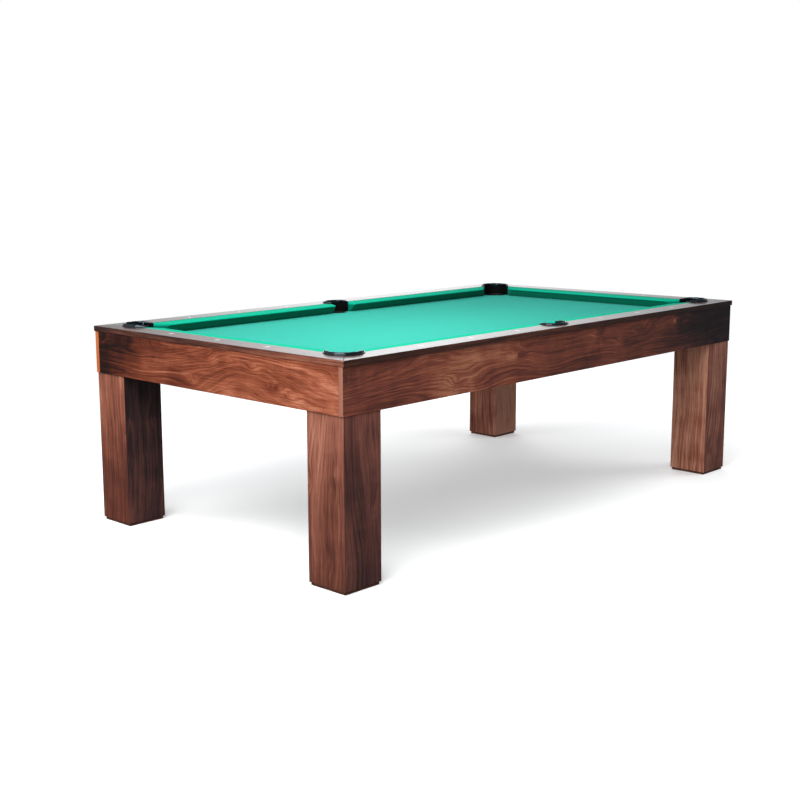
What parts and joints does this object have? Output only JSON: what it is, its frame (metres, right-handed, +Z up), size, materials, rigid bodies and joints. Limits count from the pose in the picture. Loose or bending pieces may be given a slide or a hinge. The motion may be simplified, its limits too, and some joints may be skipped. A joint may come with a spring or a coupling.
{
  "type": "pool table",
  "caption": "Pool table with a cloth-covered slate bed, rubber cushions, black drop-pocket castings, flat walnut rails and aprons, and square column legs on levelling feet.",
  "frame": {"origin": "on the floor under the middle of the table", "axes": "+X along the table from the head end to the foot end, +Y across it from front to back, +Z up"},
  "size_m": [2.56, 1.4424, 0.82],
  "materials": {
    "rail_wood": "dark walnut veneer under satin lacquer",
    "apron_wood": "figured walnut veneer under satin lacquer",
    "leg_wood": "walnut veneer under satin lacquer, grain upright",
    "frame_wood": "unfinished laminated timber",
    "slate": "honed slate",
    "bed_cloth": "napless worsted cloth, blue-green",
    "cushion_cloth": "cloth over rubber, blue-green",
    "pocket_casting": "gloss black moulding",
    "pocket_plastic": "matt black moulding",
    "foot_plastic": "matt dark brown, dense plastic",
    "steel": "zinc-plated"
  },
  "bodies": {
    "table": {"rail_front_head": "rail_wood", "rail_front_foot": "rail_wood", "rail_back_head": "rail_wood", "rail_back_foot": "rail_wood", "rail_head": "rail_wood", "rail_foot": "rail_wood", "cushion_front_head": "cushion_cloth", "cushion_front_foot": "cushion_cloth", "cushion_back_head": "cushion_cloth", "cushion_back_foot": "cushion_cloth", "cushion_head": "cushion_cloth", "cushion_foot": "cushion_cloth", "pocket_casting_front_head": "pocket_casting", "pocket_casting_front_foot": "pocket_casting", "pocket_casting_back_head": "pocket_casting", "pocket_casting_back_foot": "pocket_casting", "pocket_casting_front": "pocket_casting", "pocket_casting_back": "pocket_casting", "pocket_bucket_front_head": "pocket_plastic", "pocket_bucket_front_foot": "pocket_plastic", "pocket_bucket_back_head": "pocket_plastic", "pocket_bucket_back_foot": "pocket_plastic", "pocket_bucket_front": "pocket_plastic", "pocket_bucket_back": "pocket_plastic", "bed_cloth": "bed_cloth", "slate_middle": "slate", "slate_head": "slate", "slate_foot": "slate", "apron_front": "apron_wood", "apron_back": "apron_wood", "apron_head": "apron_wood", "apron_foot": "apron_wood", "leg_front_head": "leg_wood", "leg_front_foot": "leg_wood", "leg_back_head": "leg_wood", "leg_back_foot": "leg_wood", "leg_stud_plate_front_head": "steel", "leg_stud_plate_front_foot": "steel", "leg_stud_plate_back_head": "steel", "leg_stud_plate_back_foot": "steel", "frame_beam_front": "frame_wood", "frame_beam_back": "frame_wood", "frame_beam_head": "frame_wood", "frame_beam_foot": "frame_wood", "cross_beam_head": "frame_wood", "cross_beam_foot": "frame_wood", "centre_beam": "frame_wood", "level_plate_front_head": "steel", "level_plate_front_foot": "steel", "level_plate_back_head": "steel", "level_plate_back_foot": "steel"},
    "foot_front_head": {"foot_front_head": "foot_plastic"},
    "screw_front_head": {"level_screw_front_head": "steel"},
    "foot_front_foot": {"foot_front_foot": "foot_plastic"},
    "screw_front_foot": {"level_screw_front_foot": "steel"},
    "foot_back_head": {"foot_back_head": "foot_plastic"},
    "screw_back_head": {"level_screw_back_head": "steel"},
    "foot_back_foot": {"foot_back_foot": "foot_plastic"},
    "screw_back_foot": {"level_screw_back_foot": "steel"}
  },
  "joints": [
    {"name": "foot_front_head_slide", "type": "slide", "parent": "table", "child": "foot_front_head", "axis": [0, 0, -1], "range_m": [0, 0.015]},
    {"name": "screw_front_head_turn", "type": "hinge", "parent": "foot_front_head", "child": "screw_front_head", "pos_m": [-1.1846, -0.6226, 0.05], "axis": [0, 0, -1], "range_deg": [0, 2700]},
    {"name": "foot_front_foot_slide", "type": "slide", "parent": "table", "child": "foot_front_foot", "axis": [0, 0, -1], "range_m": [0, 0.015]},
    {"name": "screw_front_foot_turn", "type": "hinge", "parent": "foot_front_foot", "child": "screw_front_foot", "pos_m": [1.1846, -0.6226, 0.05], "axis": [0, 0, -1], "range_deg": [0, 2700]},
    {"name": "foot_back_head_slide", "type": "slide", "parent": "table", "child": "foot_back_head", "axis": [0, 0, -1], "range_m": [0, 0.015]},
    {"name": "screw_back_head_turn", "type": "hinge", "parent": "foot_back_head", "child": "screw_back_head", "pos_m": [-1.1846, 0.6226, 0.05], "axis": [0, 0, -1], "range_deg": [0, 2700]},
    {"name": "foot_back_foot_slide", "type": "slide", "parent": "table", "child": "foot_back_foot", "axis": [0, 0, -1], "range_m": [0, 0.015]},
    {"name": "screw_back_foot_turn", "type": "hinge", "parent": "foot_back_foot", "child": "screw_back_foot", "pos_m": [1.1846, 0.6226, 0.05], "axis": [0, 0, -1], "range_deg": [0, 2700]}
  ],
  "couplings": [
    {"joint": "screw_front_head_turn", "follows": "foot_front_head_slide", "rad_per_m": 3141.5},
    {"joint": "screw_front_foot_turn", "follows": "foot_front_foot_slide", "rad_per_m": 3141.5},
    {"joint": "screw_back_head_turn", "follows": "foot_back_head_slide", "rad_per_m": 3141.5},
    {"joint": "screw_back_foot_turn", "follows": "foot_back_foot_slide", "rad_per_m": 3141.5}
  ]
}
